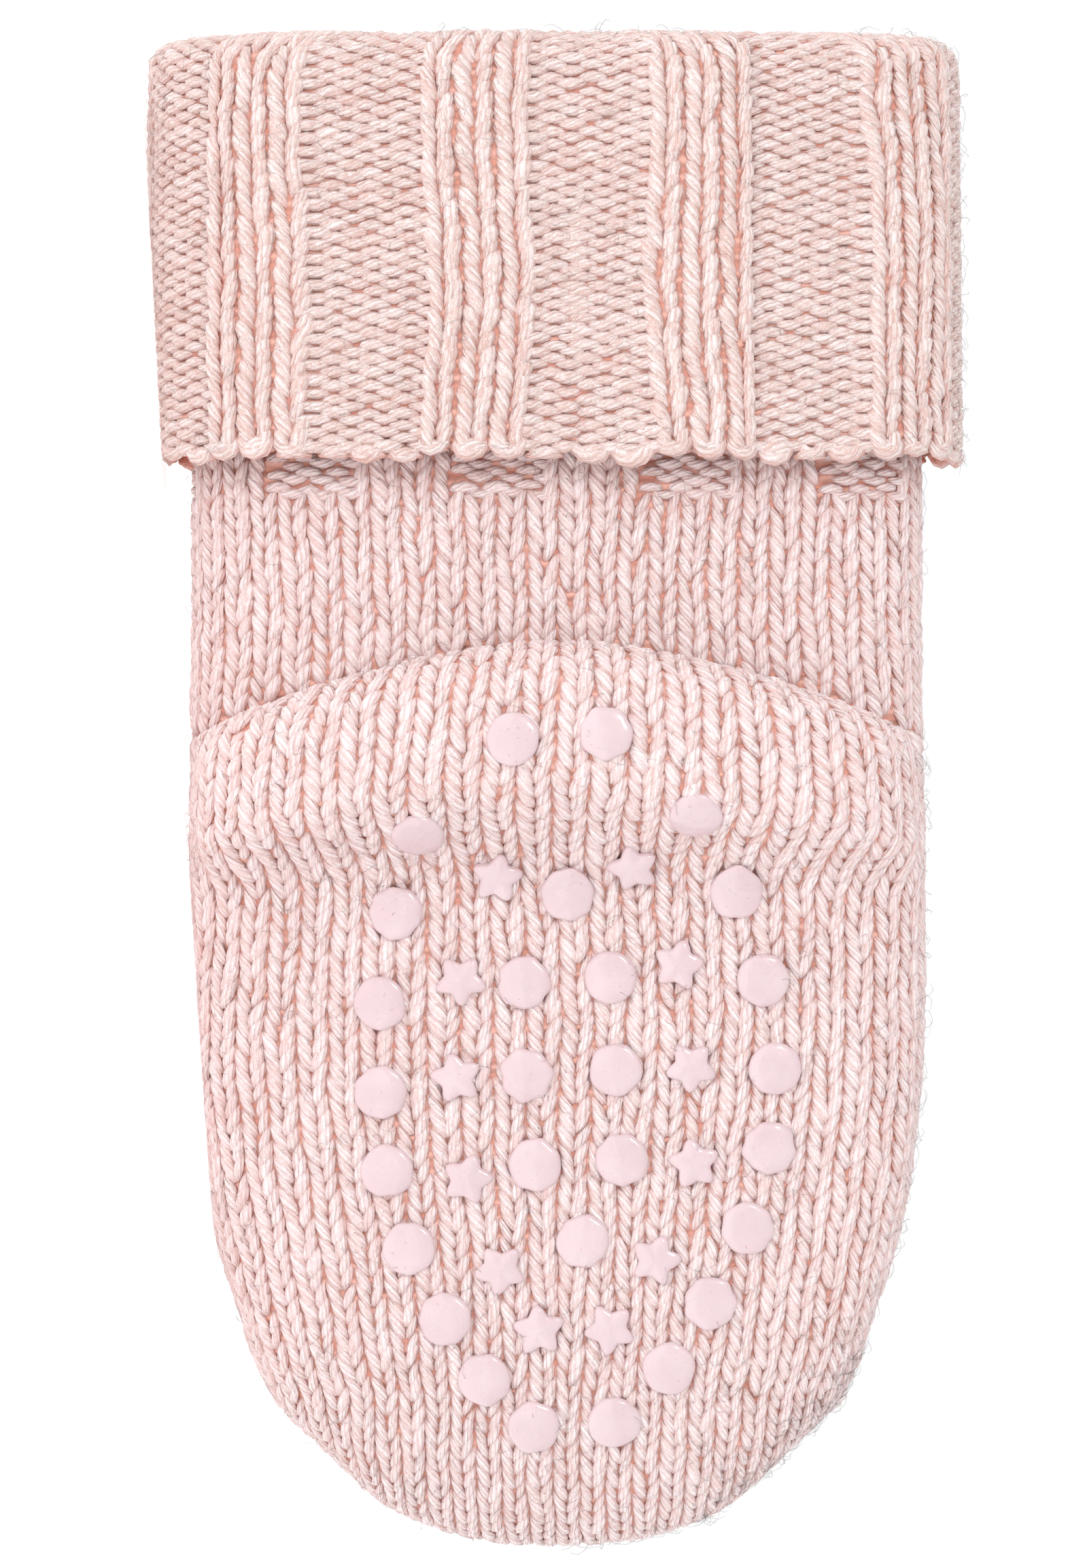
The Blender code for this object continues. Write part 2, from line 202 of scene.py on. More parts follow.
def share(column, along):
    """A column of SECTIONS, read by the root of the station, which keeps the toe round."""
    knots = np.sqrt([row.station for row in SECTIONS])
    values = np.array([getattr(row, column) for row in SECTIONS])
    slopes = np.gradient(values, knots)
    x = np.sqrt(np.clip(along / FOOT_LENGTH, 0.0, 1.0))
    i = np.clip(np.searchsorted(knots, x, side="right") - 1, 0, len(knots) - 2)
    gap = knots[i + 1] - knots[i]
    t = (x - knots[i]) / gap
    start = (1 + 2 * t) * (1 - t) ** 2 * values[i] + t * (1 - t) ** 2 * gap * slopes[i]
    end = t * t * (3 - 2 * t) * values[i + 1] + t * t * (t - 1) * gap * slopes[i + 1]
    return start + end


def pouch(along):
    """How far the heel stands out, from 0 to 1, and how far its rim hangs over towards the leg."""
    foot = FOOT_LENGTH - HEEL_LENGTH
    rise = smooth((along - foot) / (HEEL_LENGTH * HEEL_FALL))
    past_crown = np.clip((along - CROWN) / (FOOT_LENGTH - CROWN), 0.0, 1.0)
    angle = math.pi / 2 - past_crown * (math.pi / 2 + RIM_TUCK)
    out = (np.sin(angle) + math.sin(RIM_TUCK)) / (1 + math.sin(RIM_TUCK))
    over = FOOT_LENGTH + RIM_RADIUS * (np.cos(angle) - math.cos(RIM_TUCK)) - along
    on_rim = (along > CROWN) & (along < FOOT_LENGTH)
    return np.where(along < FOOT_LENGTH, rise * out, 0.0), np.where(on_rim, over, 0.0)


def lean(along):
    """How deep the middle of a section has moved, because the leg leans towards the instep."""
    bend = HEEL_LENGTH
    past = np.clip(along - (FOOT_LENGTH - bend / 2), 0.0, None)
    curved = np.minimum(past, bend) ** 2 / (2 * bend)
    return math.tan(LEG_LEAN) * (curved + np.maximum(past - bend, 0.0))


def sections(along, proud, turns):
    """Across and deep of points at those turns from the middle of the sole, with the section's sizes."""
    leg = smooth((along - FOOT_LENGTH + HEEL_LENGTH / 2) / HEEL_LENGTH)
    half = mix(FOOT_WIDTH / 2 * share("width", along), LEG_WIDTH / 2, leg) + proud
    out, over = pouch(along)
    sole = mix(SOLE_DEPTH * share("sole", along), CALF_DEPTH, leg) + HEEL_DEPTH * out + proud
    instep = mix(INSTEP_DEPTH * share("instep", along), SHIN_DEPTH, leg) + proud
    to_sole = np.cos(turns) > 0
    depth = np.where(to_sole, sole, instep)
    square = np.where(to_sole, mix(SOLE_SQUARE, LEG_SQUARE, leg), mix(INSTEP_SQUARE, LEG_SQUARE, leg))
    reach = (abs(np.cos(turns)) / depth) ** square + (abs(np.sin(turns)) / half) ** square
    radius = reach ** (-1 / square)
    return radius * np.sin(turns), -radius * np.cos(turns), half, sole, over


def place(along, turns, proud=0.0):
    """Points along, across and deep, where the rings bow down to both sides of the heel."""
    across, deep, half, sole, over = sections(along, proud, turns)
    reach = np.where(along < FOOT_LENGTH, ARCH_BELOW, ARCH_ABOVE) * HEEL_LENGTH
    bow = 1 - smooth(abs(along - FOOT_LENGTH) / reach)
    hang = over * np.clip(-deep / sole, 0.0, 1.0)
    down = HEEL_ARCH * bow * (abs(across) / half) ** ARCH_POWER
    return np.stack([along - down + hang, across, deep + lean(along)], axis=-1)


def rest_line():
    """The two points that touch the floor, along and across, and the tilt that levels them."""
    foot = REST_STATION * FOOT_LENGTH
    cuff = HEM + HEM_REST
    foot_half = sections(foot, 0.0, 0.0)[2]
    cuff_half = sections(cuff, CUFF_OUT, 0.0)[2]
    return foot, foot_half, math.atan2(cuff_half - foot_half, cuff - foot)


def lay_down(points, shift=(0.0, 0.0), lowest=0.0):
    """Turns the sock's own lengths into x, y and z on the floor. Nothing goes below lowest."""
    foot, foot_half, tilt = rest_line()
    along = points[..., 0] - foot
    across = points[..., 1] + foot_half
    x = across * math.sin(tilt) - along * math.cos(tilt) + shift[0]
    z = along * math.sin(tilt) + across * math.cos(tilt) - SINK
    return np.stack([x, points[..., 2] + shift[1], np.maximum(z, lowest)], axis=-1)


# Tables of places

# Points and normals stand in tables by wale and by course. First and last are the courses where each
# wale's line begins and ends
Field = namedtuple("Field", "wale rows points normals first last")
# Turns over the sole (front) and the instep (back) by the root of the station, with the arcs' lengths
Turns = namedtuple("Turns", "roots front back front_arc back_arc")
SHARES = np.linspace(0.0, 1.0, 81)  # of half the sole's or the instep's arc, from its middle


def turn_tables():
    """Turns at even shares of the arc over the sole and over the instep, for stations all along."""
    roots = np.linspace(0.012, 1.0, 700)
    angles = np.linspace(0.0, math.pi, 721)
    half = len(angles) // 2
    front, back, front_arc, back_arc = [], [], [], []
    for root in roots:
        across, deep, *_ = sections(np.full(angles.shape, root * root * LENGTH), 0.0, angles)
        walked = walk_along(np.stack([across, deep], axis=-1))
        front_arc.append(walked[half])
        back_arc.append(walked[-1] - walked[half])
        front.append(np.interp(SHARES * walked[half], walked, angles))
        back.append(np.interp(walked[-1] - SHARES * back_arc[-1], walked, angles))
    return Turns(roots, np.array(front), np.array(back), np.array(front_arc), np.array(back_arc))


def read_turns(tables, side, along, part):
    """The turn at that share of the arc, over the sole (front) or the instep (back)."""
    table = getattr(tables, side)
    row = np.interp(np.sqrt(along / LENGTH), tables.roots, np.arange(len(tables.roots)))
    column = np.clip(part, 0.0, 1.0) * (len(SHARES) - 1)
    i = np.clip(row.astype(int), 0, len(tables.roots) - 2)
    j = np.clip(column.astype(int), 0, len(SHARES) - 2)
    u, v = row - i, column - j
    low = mix(table[i, j], table[i, j + 1], v)
    return mix(low, mix(table[i + 1, j], table[i + 1, j + 1], v), u)


def toe_share(tables, along, wale):
    """Share of half the sole's arc where a wale stands. Past 1 it has gone over the edge."""
    root = np.sqrt(along / LENGTH)
    arc = np.interp(root, tables.roots, tables.front_arc)
    corner = np.interp(math.sqrt(SEAM_CORNER / LENGTH), tables.roots, tables.front_arc) / HALF_WALES
    pitch = corner * (1 - TOE_NARROWING * (1 - along / SEAM_CORNER))
    return np.where(along >= SEAM_CORNER, abs(wale) / HALF_WALES, abs(wale) * pitch / arc)


def seam_station(turns):
    """Along, where the toe seam crosses that turn on the instep's side."""
    t = np.interp(turns % (2 * math.pi), [SEAM_RIGHT, math.pi, SEAM_LEFT], [1.0, 0.0, -1.0])
    return SEAM_SET + (SEAM_CORNER - SEAM_SET) * t * t


def stations_down(top, bottom):
    """Stations from top to bottom, close together over the heel's rim and at the toe."""
    parts = []
    knees = [top, FOOT_LENGTH, CROWN, SEAM_CORNER]
    for start, end, count in zip(knees, knees[1:], [60, 90, 300]):
        if start > end:
            parts.append(np.linspace(start, end, count, endpoint=False))
    parts.append(np.linspace(math.sqrt(SEAM_CORNER), math.sqrt(bottom), 140) ** 2)
    return np.concatenate(parts)


def leg_line(tables, wale):
    """A wale of the calf, from under the cuff down to the crease under the heel's rim."""
    along = np.linspace(KNIT_TOP + 2 * COURSE, FOOT_LENGTH, 120)
    turns = read_turns(tables, "front", along, abs(wale) / HALF_WALES)
    return place(along, turns * (1 if wale >= 0 else -1)), 0


def sole_line(tables, wale):
    """A wale of the sole: over the heel's rim, down the foot, round the toe and up to the seam."""
    side = 1 if wale >= 0 else -1
    along = stations_down(FOOT_LENGTH, 0.03 * MM)
    part = toe_share(tables, along, wale)
    inside = np.cumsum(part > 1.0 + 1e-9) == 0
    along, part = along[inside], part[inside]
    front = place(along, side * read_turns(tables, "front", along, part))
    turns = side * read_turns(tables, "back", along, part)
    below = along < seam_station(turns)
    back = place(along, turns)[below][::-1]
    datum = int(np.argmin(abs(along - REST_STATION * FOOT_LENGTH)))
    return np.concatenate([front, back]), datum


def instep_line(tables, wale):
    """A wale of the shin and the instep, from under the cuff down to the toe seam."""
    along = stations_down(KNIT_TOP + 2 * COURSE, SEAM_SET / 2)
    turns = read_turns(tables, "back", along, abs(wale) / HALF_WALES) * (1 if wale >= 0 else -1)
    keep = along >= seam_station(turns)
    return place(along[keep], turns[keep]), 0


def with_normals(wale, rows, points, first, last):
    """A field whose normals all point outwards."""
    normals = unit(np.cross(*np.gradient(points, axis=(0, 1))))
    normals = outwards(normals, points - points.reshape(-1, 3).mean(axis=0))
    return Field(wale, rows, points, normals, first, last)


def knit_field(tables, line, shift):
    """Places for the wales on one side of the sock, counted from that side's middle."""
    wales = np.arange(-HALF_WALES - 0.5, HALF_WALES + 0.5 + 1e-9, TABLE_STEP)
    lines = [line(tables, w) for w in np.clip(wales, -HALF_WALES, HALF_WALES)]
    walks = []
    for points, datum in lines:
        walked = walk_along(points)
        walks.append((walked - walked[datum]) / COURSE)
    first = np.array([walk[0] for walk in walks])
    last = np.array([walk[-1] for walk in walks])
    rows = np.arange(math.floor(first.min()) - 2, math.ceil(last.max()) + 2, TABLE_STEP)
    table = np.empty((len(wales), len(rows), 3))
    for i, ((points, _), walk) in enumerate(zip(lines, walks)):
        ahead = (points[-1] - points[-4]) / (walk[-1] - walk[-4])
        behind = (points[0] - points[3]) / (walk[3] - walk[0])
        line_rows = np.concatenate([[walk[0] - PAST_ENDS], walk, [walk[-1] + PAST_ENDS]])
        ends = [points[0] + PAST_ENDS * behind, points[-1] + PAST_ENDS * ahead]
        table[i] = read_line(rows, line_rows, np.concatenate([ends[:1], points, ends[1:]]))
    # Past its end, an outermost line runs on beside its inner neighbours
    for i in np.argsort(abs(wales), kind="stable"):
        if abs(wales[i]) > HALF_WALES - 1:
            inner = 1 if wales[i] < 0 else -1
            beyond = rows > last[i]
            table[i, beyond] = 2 * table[i + inner, beyond] - table[i + 2 * inner, beyond]
    return with_normals(wales, rows, lay_down(table, shift), first, last)


def arc(middle, radius, start, end, steps):
    """Points (along, proud) of an arc round middle. Angle 0 points up along, 90 degrees outwards."""
    angles = np.radians(np.linspace(start, end, steps + 1))
    return np.stack([middle[0] + radius * np.cos(angles), middle[1] + radius * np.sin(angles)], axis=-1)


def cuff_path(skin=0.0, inside=TURN_INSIDE):
    """The ribbing's shown face (along, proud): up inside the collar, over the fold, down to the hem."""
    fold_middle = (FOLD_START, (CUFF_OUT - WALL) / 2)
    inner = [(a, skin - WALL) for a in np.linspace(COLLAR - inside, FOLD_START, 25)]
    fold = arc(fold_middle, FOLD_HEIGHT - skin, -90, 90, 24)[1:]
    outer = [(a, CUFF_OUT - skin) for a in np.linspace(FOLD_START, HEM + skin, 60)[1:]]
    return np.concatenate([inner, fold, outer])


def even_turns(along, proud, count, shift=0.0):
    """Turns of points spaced evenly round a section, the first one shift away from the sole's middle."""
    turns = np.linspace(0.0, 2 * math.pi, 721)
    across, deep, *_ = sections(np.full(turns.shape, along), proud, turns)
    walked = walk_along(np.stack([across, deep], axis=-1))
    wanted = (np.arange(count) / count * walked[-1] + shift) % walked[-1]
    return np.interp(wanted, walked, turns)


def is_rib(wale):
    """True for a knit wale of the cuff. Wale 0 is the middle of a purl panel."""
    return (np.round(wale).astype(int) + RIB_WALES // 2) // RIB_WALES % 2 == 1


def rib_rise(wale):
    """How far the ribbing stands out at that wale, rounded at the sides of a rib."""
    phase = (wale + RIB_WALES / 2) % (2 * RIB_WALES) - RIB_WALES * 1.5
    return RIB_RISE * smooth((RIB_WALES / 2 + 0.22 - abs(phase)) / 0.5)


def cuff_rings(path, count, shift):
    """Rings of places on the ribbing for each point of that path."""
    wales = np.arange(count) * WALES / count
    rings = []
    over_fold = even_turns(FOLD_START, CUFF_OUT, count, RIB_SHIFT)
    for along, proud in path:
        rise = rib_rise(wales) * smooth((proud + WALL) / FOLD_HEIGHT)
        turned = proud > CUFF_OUT - 2 * SKIN_DEPTH and along < FOLD_START
        turns = even_turns(along, proud, count, RIB_SHIFT) if turned else over_fold
        lowest = max(0.0, CUFF_OUT - proud) * 0.8
        rings.append(lay_down(place(np.full(count, along), turns, proud + rise), shift, lowest))
    return np.array(rings)


def cuff_field(shift):
    """Places for the wales of the ribbing, once round and one more at each end."""
    path = cuff_path()
    walked = walk_along(path)
    row_at = (walked - walked[-1]) / RIB_COURSE
    rings = cuff_rings(path, int(WALES / TABLE_STEP), shift)
    rows = np.arange(math.ceil(row_at[0]), 1.5, TABLE_STEP)
    extended = np.concatenate([rings, rings[-1:] + (rings[-1:] - rings[-2:-1]) * 5])
    row_at = np.append(row_at, 5 * (row_at[-1] - row_at[-2]))
    table = np.array([read_line(rows, row_at, line) for line in extended.transpose(1, 0, 2)])
    pad = int(1 / TABLE_STEP)
    table = np.concatenate([table[-pad:], table, table[: pad + 1]])
    wales = np.arange(len(table)) * TABLE_STEP - 1.0
    field = with_normals(wales, rows, table, None, None)
    middles = table.mean(axis=0, keepdims=True)
    out = np.sum(field.normals * (table - middles), axis=-1)
    down_outside = np.mean(out[:, len(rows) // 2 :]) > 0
    return field if down_outside else field._replace(normals=-field.normals)


def sway(field, wale, row):
    """How far the wales wander sideways, in wales, because the knit is soft."""
    slow = np.sin(row * 0.16 + wale * 0.31 + 0.6) + 0.7 * np.sin(row * 0.29 - wale * 0.19 + 2.1)
    fast = np.sin(row * 0.83 + wale * 1.7) + np.sin(row * 1.31 - wale * 2.3 + 1.0)
    room = 1.0 if field.first is None else smooth((HALF_WALES - abs(wale)) / 2)
    return (SWAY * slow + 0.25 * SWAY * fast) * room


def at(field, wale, row):
    """The place and the outward direction at that wale and course."""
    wale = wale + sway(field, wale, row)
    x = (wale - field.wale[0]) / TABLE_STEP
    y = (row - field.rows[0]) / TABLE_STEP
    i = np.clip(np.floor(x).astype(int), 0, len(field.wale) - 2)
    j = np.clip(np.floor(y).astype(int), 0, len(field.rows) - 2)
    u = np.clip(x - i, 0.0, 1.0)[..., None]
    v = np.clip(y - j, 0.0, 1.0)[..., None]

    def read(table):
        return mix(mix(table[i, j], table[i, j + 1], v), mix(table[i + 1, j], table[i + 1, j + 1], v), u)

    return read(field.points), unit(read(field.normals))


# Yarn

# Strand is a place on the plies (cosine, sine, millimetres along), deep is how far a point lies down in
# the fabric, from 0 to 1, and tone is each stitch's own shade
# Deep also sets how much painted shade the yarn gets there
Yarn = namedtuple("Yarn", "points faces strand deep tone")
YARN_TWIST = 0.36  # slope of the plies round the yarn
FULL_PITCH = 3.3 * MM  # width of a wale in which the yarn has its full width
PURL_SIZE = 1.04  # of the cuff's purl stitches, and how uneven they are
PURL_MESS = 0.6
LEG_PURL_SIZE = 1.1
LAST_LEG = 0.6  # courses that a stitch keeps clear of the end of its wale
# Unevenness of a stitch: its spread, its wale, its reach, its course, its fullness and its height
SPREAD_MESS = 0.06
WALE_MESS = 0.022
REACH_MESS = 0.05
COURSE_MESS = 0.09
FULLNESS_MESS = 0.10
HEIGHT_MESS = 0.06 * MM


def join(yarns):
    """Several lots of yarn as one."""
    starts = np.cumsum([0] + [len(yarn.points) for yarn in yarns])
    lots = [yarn._replace(faces=yarn.faces + start) for yarn, start in zip(yarns, starts)]
    return Yarn(*(np.concatenate(column) for column in zip(*lots)))


def shell_faces(rings, count, closed=False):
    """Triangles over rings of points, once round each and from one to the next."""
    k, i = np.meshgrid(np.arange(rings if closed else rings - 1), np.arange(count), indexing="ij")
    j, n = (i + 1) % count, (k + 1) % rings
    quads = np.stack([k * count + i, k * count + j, n * count + j, n * count + i], axis=-1).reshape(-1, 4)
    return np.concatenate([quads[:, [0, 1, 2]], quads[:, [0, 2, 3]]])


def capped_faces(rings, count):
    """The same, closed by two more points: one past the first ring, then one past the last."""
    i = np.arange(count)
    j = (i + 1) % count
    first, last = np.full(count, rings * count), (rings - 1) * count
    caps = [np.stack([first, j, i], axis=-1), np.stack([first + 1, last + i, last + j], axis=-1)]
    return np.concatenate([shell_faces(rings, count), *caps])


def tubes(centres, ups, wide, thick, heights, rng, sides=TUBE_SIDES):
    """Closed lengths of yarn along rows of centres. Wide is their half width, thick half their height."""
    count, rings = centres.shape[:2]
    tangent = unit(np.gradient(centres, axis=1))
    side = unit(np.cross(ups, tangent))
    up = np.cross(tangent, side)
    angles = np.arange(sides) * 2 * math.pi / sides
    ring = (
        centres[:, :, None]
        + side[:, :, None] * (wide[:, :, None] * np.cos(angles))[..., None]
        + up[:, :, None] * (thick[:, :, None] * np.sin(angles))[..., None]
    )
    tip = 0.55 * np.minimum(wide, thick)
    start = centres[:, 0] - tangent[:, 0] * tip[:, :1]
    end = centres[:, -1] + tangent[:, -1] * tip[:, -1:]
    points = np.concatenate([ring.reshape(count, -1, 3), np.stack([start, end], axis=1)], axis=1)
    faces = capped_faces(rings, sides)[None] + (np.arange(count) * points.shape[1])[:, None, None]

    steps = np.linalg.norm(np.diff(centres, axis=1, prepend=centres[:, :1]), axis=-1)
    length = np.cumsum(steps, axis=1)
    spin = rng.uniform(0, 2 * math.pi, (count, 1))
    around = angles + (length * YARN_TWIST / np.mean(wide) + spin)[..., None]
    walk = np.repeat((length / MM)[..., None], sides, axis=2)
    strand = np.stack([np.cos(around), np.sin(around), walk], axis=-1).reshape(count, -1, 3)
    strand_ends = np.stack([strand[:, :sides].mean(axis=1), strand[:, -sides:].mean(axis=1)], axis=1)
    strand = np.concatenate([strand, strand_ends], axis=1)
    level = (heights[..., None] + thick[..., None] * np.sin(angles)).reshape(count, -1)
    level = np.concatenate([level, heights[:, :1], heights[:, -1:]], axis=1)
    deep = np.clip((-0.05 * MM - level) / (1.05 * MM), 0.0, 1.0)
    tone = np.repeat(rng.uniform(0, 1, (count, 1)), points.shape[1], axis=1)
    flat = [values.reshape(-1, 3) for values in (points, faces, strand)]
    return Yarn(*flat, deep.ravel(), tone.ravel())


# The middle line of one length of yarn: out from the wale's middle in wales and past its course in
# courses, then its height over the fabric's face and half its width and thickness in millimetres
Shape = namedtuple("Shape", "side row height wide thick")
LEG = Shape(*np.array([
    [0.06, 0.155, 0.25, 0.34, 0.425],
    [-0.90, -0.44, 0.0, 0.44, 0.88],
    [-0.80, -0.46, -0.33, -0.34, -0.62],
    [0.34, 0.58, 0.67, 0.64, 0.42],
    [0.28, 0.46, 0.52, 0.50, 0.34],
]))
RIB_LEG = Shape(*np.array([
    [0.07, 0.15, 0.235, 0.31, 0.38],
    [1.02, 0.5, 0.0, -0.5, -1.0],
    [-1.00, -0.50, -0.30, -0.32, -0.75],
    [0.32, 0.58, 0.68, 0.64, 0.38],
    [0.28, 0.48, 0.56, 0.52, 0.30],
]))
HEAD = Shape(*np.array([
    [-0.47, -0.27, 0.0, 0.27, 0.47],
    [0.16, 0.03, -0.03, 0.03, 0.16],
    [-0.98, -0.45, -0.27, -0.45, -0.98],
    [0.20, 0.46, 0.57, 0.46, 0.20],
    [0.26, 0.42, 0.48, 0.42, 0.26],
]))
SINKER = HEAD._replace(row=-HEAD.row)
HEM_LOOP = Shape(*np.array([
    [-0.40, -0.37, -0.23, 0.0, 0.23, 0.37, 0.40],
    [-0.95, -0.35, 0.12, 0.28, 0.12, -0.35, -0.95],
    [-0.85, -0.50, -0.42, -0.40, -0.42, -0.50, -0.85],
    [0.30, 0.50, 0.58, 0.62, 0.58, 0.50, 0.30],
    [0.26, 0.44, 0.52, 0.54, 0.52, 0.44, 0.26],
]))


def stitches(field, wales, rows, shape, sides, rng, size=1.0, mess=1.0, around=TUBE_SIDES):
    """One length of yarn of that shape at each wale and course.

    Sides are 1, or -1 to mirror it. Size scales the yarn's thickness and mess its unevenness.
    """
    count = len(wales)
    jitter = np.clip(rng.normal(0.0, 1.0, (count, 4, 1)), -2.2, 2.2) * mess
    out = np.reshape(sides, (-1, 1)) * shape.side
    wale = wales[:, None] + out * (1 + SPREAD_MESS * jitter[:, 0]) + WALE_MESS * jitter[:, 1]
    row = rows[:, None] + shape.row * (1 + REACH_MESS * jitter[:, 3]) + COURSE_MESS * jitter[:, 2]
    points, normals = at(field, wale, row)
    left, _ = at(field, wales - 0.5, rows)
    right, _ = at(field, wales + 0.5, rows)
    pitch = np.linalg.norm(right - left, axis=-1)[:, None]
    fullness = 1 + FULLNESS_MESS * jitter[:, 3]
    wide = shape.wide * MM * size * fullness * np.clip(pitch / FULL_PITCH, 0.5, 1.15)
    thick = shape.thick * MM * size * fullness * np.ones((count, 1))
    heights = shape.height * MM + HEIGHT_MESS * jitter[:, 0]
    centres = points + normals * heights[..., None]
    return tubes(centres, normals, wide, thick, heights, rng, around)


def rows_between(field, wale, low, high):
    """The courses of a wale, from where its line begins to where it ends, if they are in that range."""
    first = np.interp(wale, field.wale, field.first)
    last = np.interp(wale, field.wale, field.last)
    return np.arange(math.ceil(max(first, low)), math.floor(min(last, high)) + 1, 1.0)


def pairs(wales, rows):
    """Both legs of each stitch: its wale, its course and the side of the leg."""
    return np.tile(wales, 2), np.tile(rows, 2), np.repeat([1.0, -1.0], len(wales))


def plain(field, rng, purl=None, low=-1e9, high=1e9, around=TUBE_SIDES):
    """Plain knit all over a field, with a few purl courses at the top of the wales that purl names."""
    knits, purls = [], []
    for wale in range(-int(HALF_WALES), int(HALF_WALES) + 1):
        own = rows_between(field, wale, low, high)
        top = 1 + PURL_ROWS if purl is not None and purl(wale) else 0
        purls += [(wale, row) for row in own[:top]]
        knits += [(wale, row) for row in own[top:]]
    wales, rows, sides = pairs(*np.array(knits, float).T)
    keep = rows <= np.interp(wales + LEG.side[-1] * sides, field.wale, field.last) - LAST_LEG
    lots = [stitches(field, wales[keep], rows[keep], LEG, sides[keep], rng, around=around)]
    if purls:
        wales, rows = np.array(purls, float).T
        lots.append(stitches(field, wales, rows, HEAD, 1, rng, LEG_PURL_SIZE))
        lots.append(stitches(field, wales + 0.5, rows + 0.5, SINKER, 1, rng, LEG_PURL_SIZE))
    return join(lots)


def under_rib(wale):
    """Whether a wale of the calf lies under a rib of the cuff."""
    return is_rib(wale - WALE_SHIFT)


def under_back_rib(wale):
    """The same for a wale of the shin."""
    return is_rib(WALES / 2 - wale - WALE_SHIFT)


def each_with_each(wales, rows):
    return np.repeat(wales, len(rows)), np.tile(rows, len(wales))


def ribbing(field, rng):
    """The ribs, the purl panels between them and the loops along the hem."""
    wales = np.arange(WALES, dtype=float)
    rows = np.arange(math.ceil(field.rows[0]) + 2, -0.4, 1.0)
    knit, purl = wales[is_rib(wales)], wales[~is_rib(wales)]
    between = np.unique(np.concatenate([purl - 0.5, purl + 0.5]) % WALES)

    def lay(shape, wales, rows, size, mess):
        return stitches(field, *each_with_each(wales, rows), shape, 1, rng, size, mess)

    leg_wales, leg_rows, sides = pairs(*each_with_each(knit, rows))
    ribs = stitches(field, leg_wales, leg_rows, RIB_LEG, sides, rng)
    heads = lay(HEAD, purl, rows, PURL_SIZE, PURL_MESS)
    sinkers = lay(SINKER, between, rows + 0.5, PURL_SIZE, PURL_MESS)
    # Along the hem, by their distance past it in courses
    rib_loops = lay(HEM_LOOP, knit, [-0.35], size=1.05, mess=1.5)
    purl_loops = lay(HEM_LOOP, purl, [-0.15], size=1.1, mess=1.7)
    purl_fills = lay(HEAD, purl, [-0.05], size=1.2, mess=1.5)
    rib_fills = lay(HEAD, knit, [-0.45], size=1.1, mess=1.5)
    return join([ribs, rib_loops, rib_fills]), join([heads, sinkers, purl_loops, purl_fills])


def off_floor(points, softness=0.12 * MM):
    """Points that would be under the floor, pressed up to it."""
    z = points[:, 2]
    points[:, 2] = np.where(z < 3 * MM, softness * np.logaddexp(0.0, z / softness), z)
    return points


def add_object(name, data):
    thing = bpy.data.objects.new(name, data)
    bpy.context.collection.objects.link(thing)
    return thing


def mesh_piece(name, points, faces, finish):
    """A smooth-shaded mesh object of those points and faces."""
    mesh = bpy.data.meshes.new(name)
    mesh.vertices.add(len(points))
    mesh.vertices.foreach_set("co", np.asarray(points, np.float32).ravel())
    corners = np.asarray(faces, np.int32)
    mesh.loops.add(corners.size)
    mesh.loops.foreach_set("vertex_index", corners.ravel())
    mesh.polygons.add(len(corners))
    mesh.polygons.foreach_set("loop_start", np.arange(0, corners.size, corners.shape[1], dtype=np.int32))
    mesh.update(calc_edges=True)
    mesh.validate()
    mesh.shade_smooth()
    mesh.materials.append(finish)
    return add_object(name, mesh)


def yarn_piece(name, yarn, finish):
    piece = mesh_piece(name, off_floor(yarn.points), yarn.faces, finish)
    strand = piece.data.attributes.new("strand", "FLOAT_VECTOR", "POINT")
    strand.data.foreach_set("vector", yarn.strand.astype(np.float32).ravel())
    for label, values in (("deep", yarn.deep), ("tone", yarn.tone)):
        layer = piece.data.attributes.new(label, "FLOAT", "POINT")
        layer.data.foreach_set("value", values.astype(np.float32))
    return piece


# Materials


def linear(red, green, blue):
    """A screen colour from 0 to 255, as the shader wants it."""
    values = np.array([red, green, blue]) / 255
    made = np.where(values <= 0.04045, values / 12.92, ((values + 0.055) / 1.055) ** 2.4)
    return (*made.tolist(), 1.0)


def grey(level):
    return (level, level, level, 1.0)


# Each yarn's pale, fair and rosy strands, and the painted shade, rosier and darker, where the yarn dives
# between the stitches
PLAIN_SHADES = linear(237, 226, 226), linear(225, 204, 203), linear(215, 179, 174)
RIB_SHADES = linear(233, 222, 221), linear(215, 193, 188), linear(206, 166, 156)
SEAM_SHADES = linear(248, 242, 242), linear(238, 224, 222), linear(226, 198, 194)
PAINTED_GAP_SHADE = linear(240, 170, 152)
HAIR = linear(255, 250, 250)
# The ground's light and dark are darker and rosier than the yarn: painted shade in the gaps between the
# stitches
GROUND_SHADE_COLOURS = linear(232, 180, 165), linear(212, 150, 134)  # light and dark
RUBBER_SHADES = linear(206, 183, 187), linear(212, 190, 194), linear(186, 142, 148)  # base, pale, dust


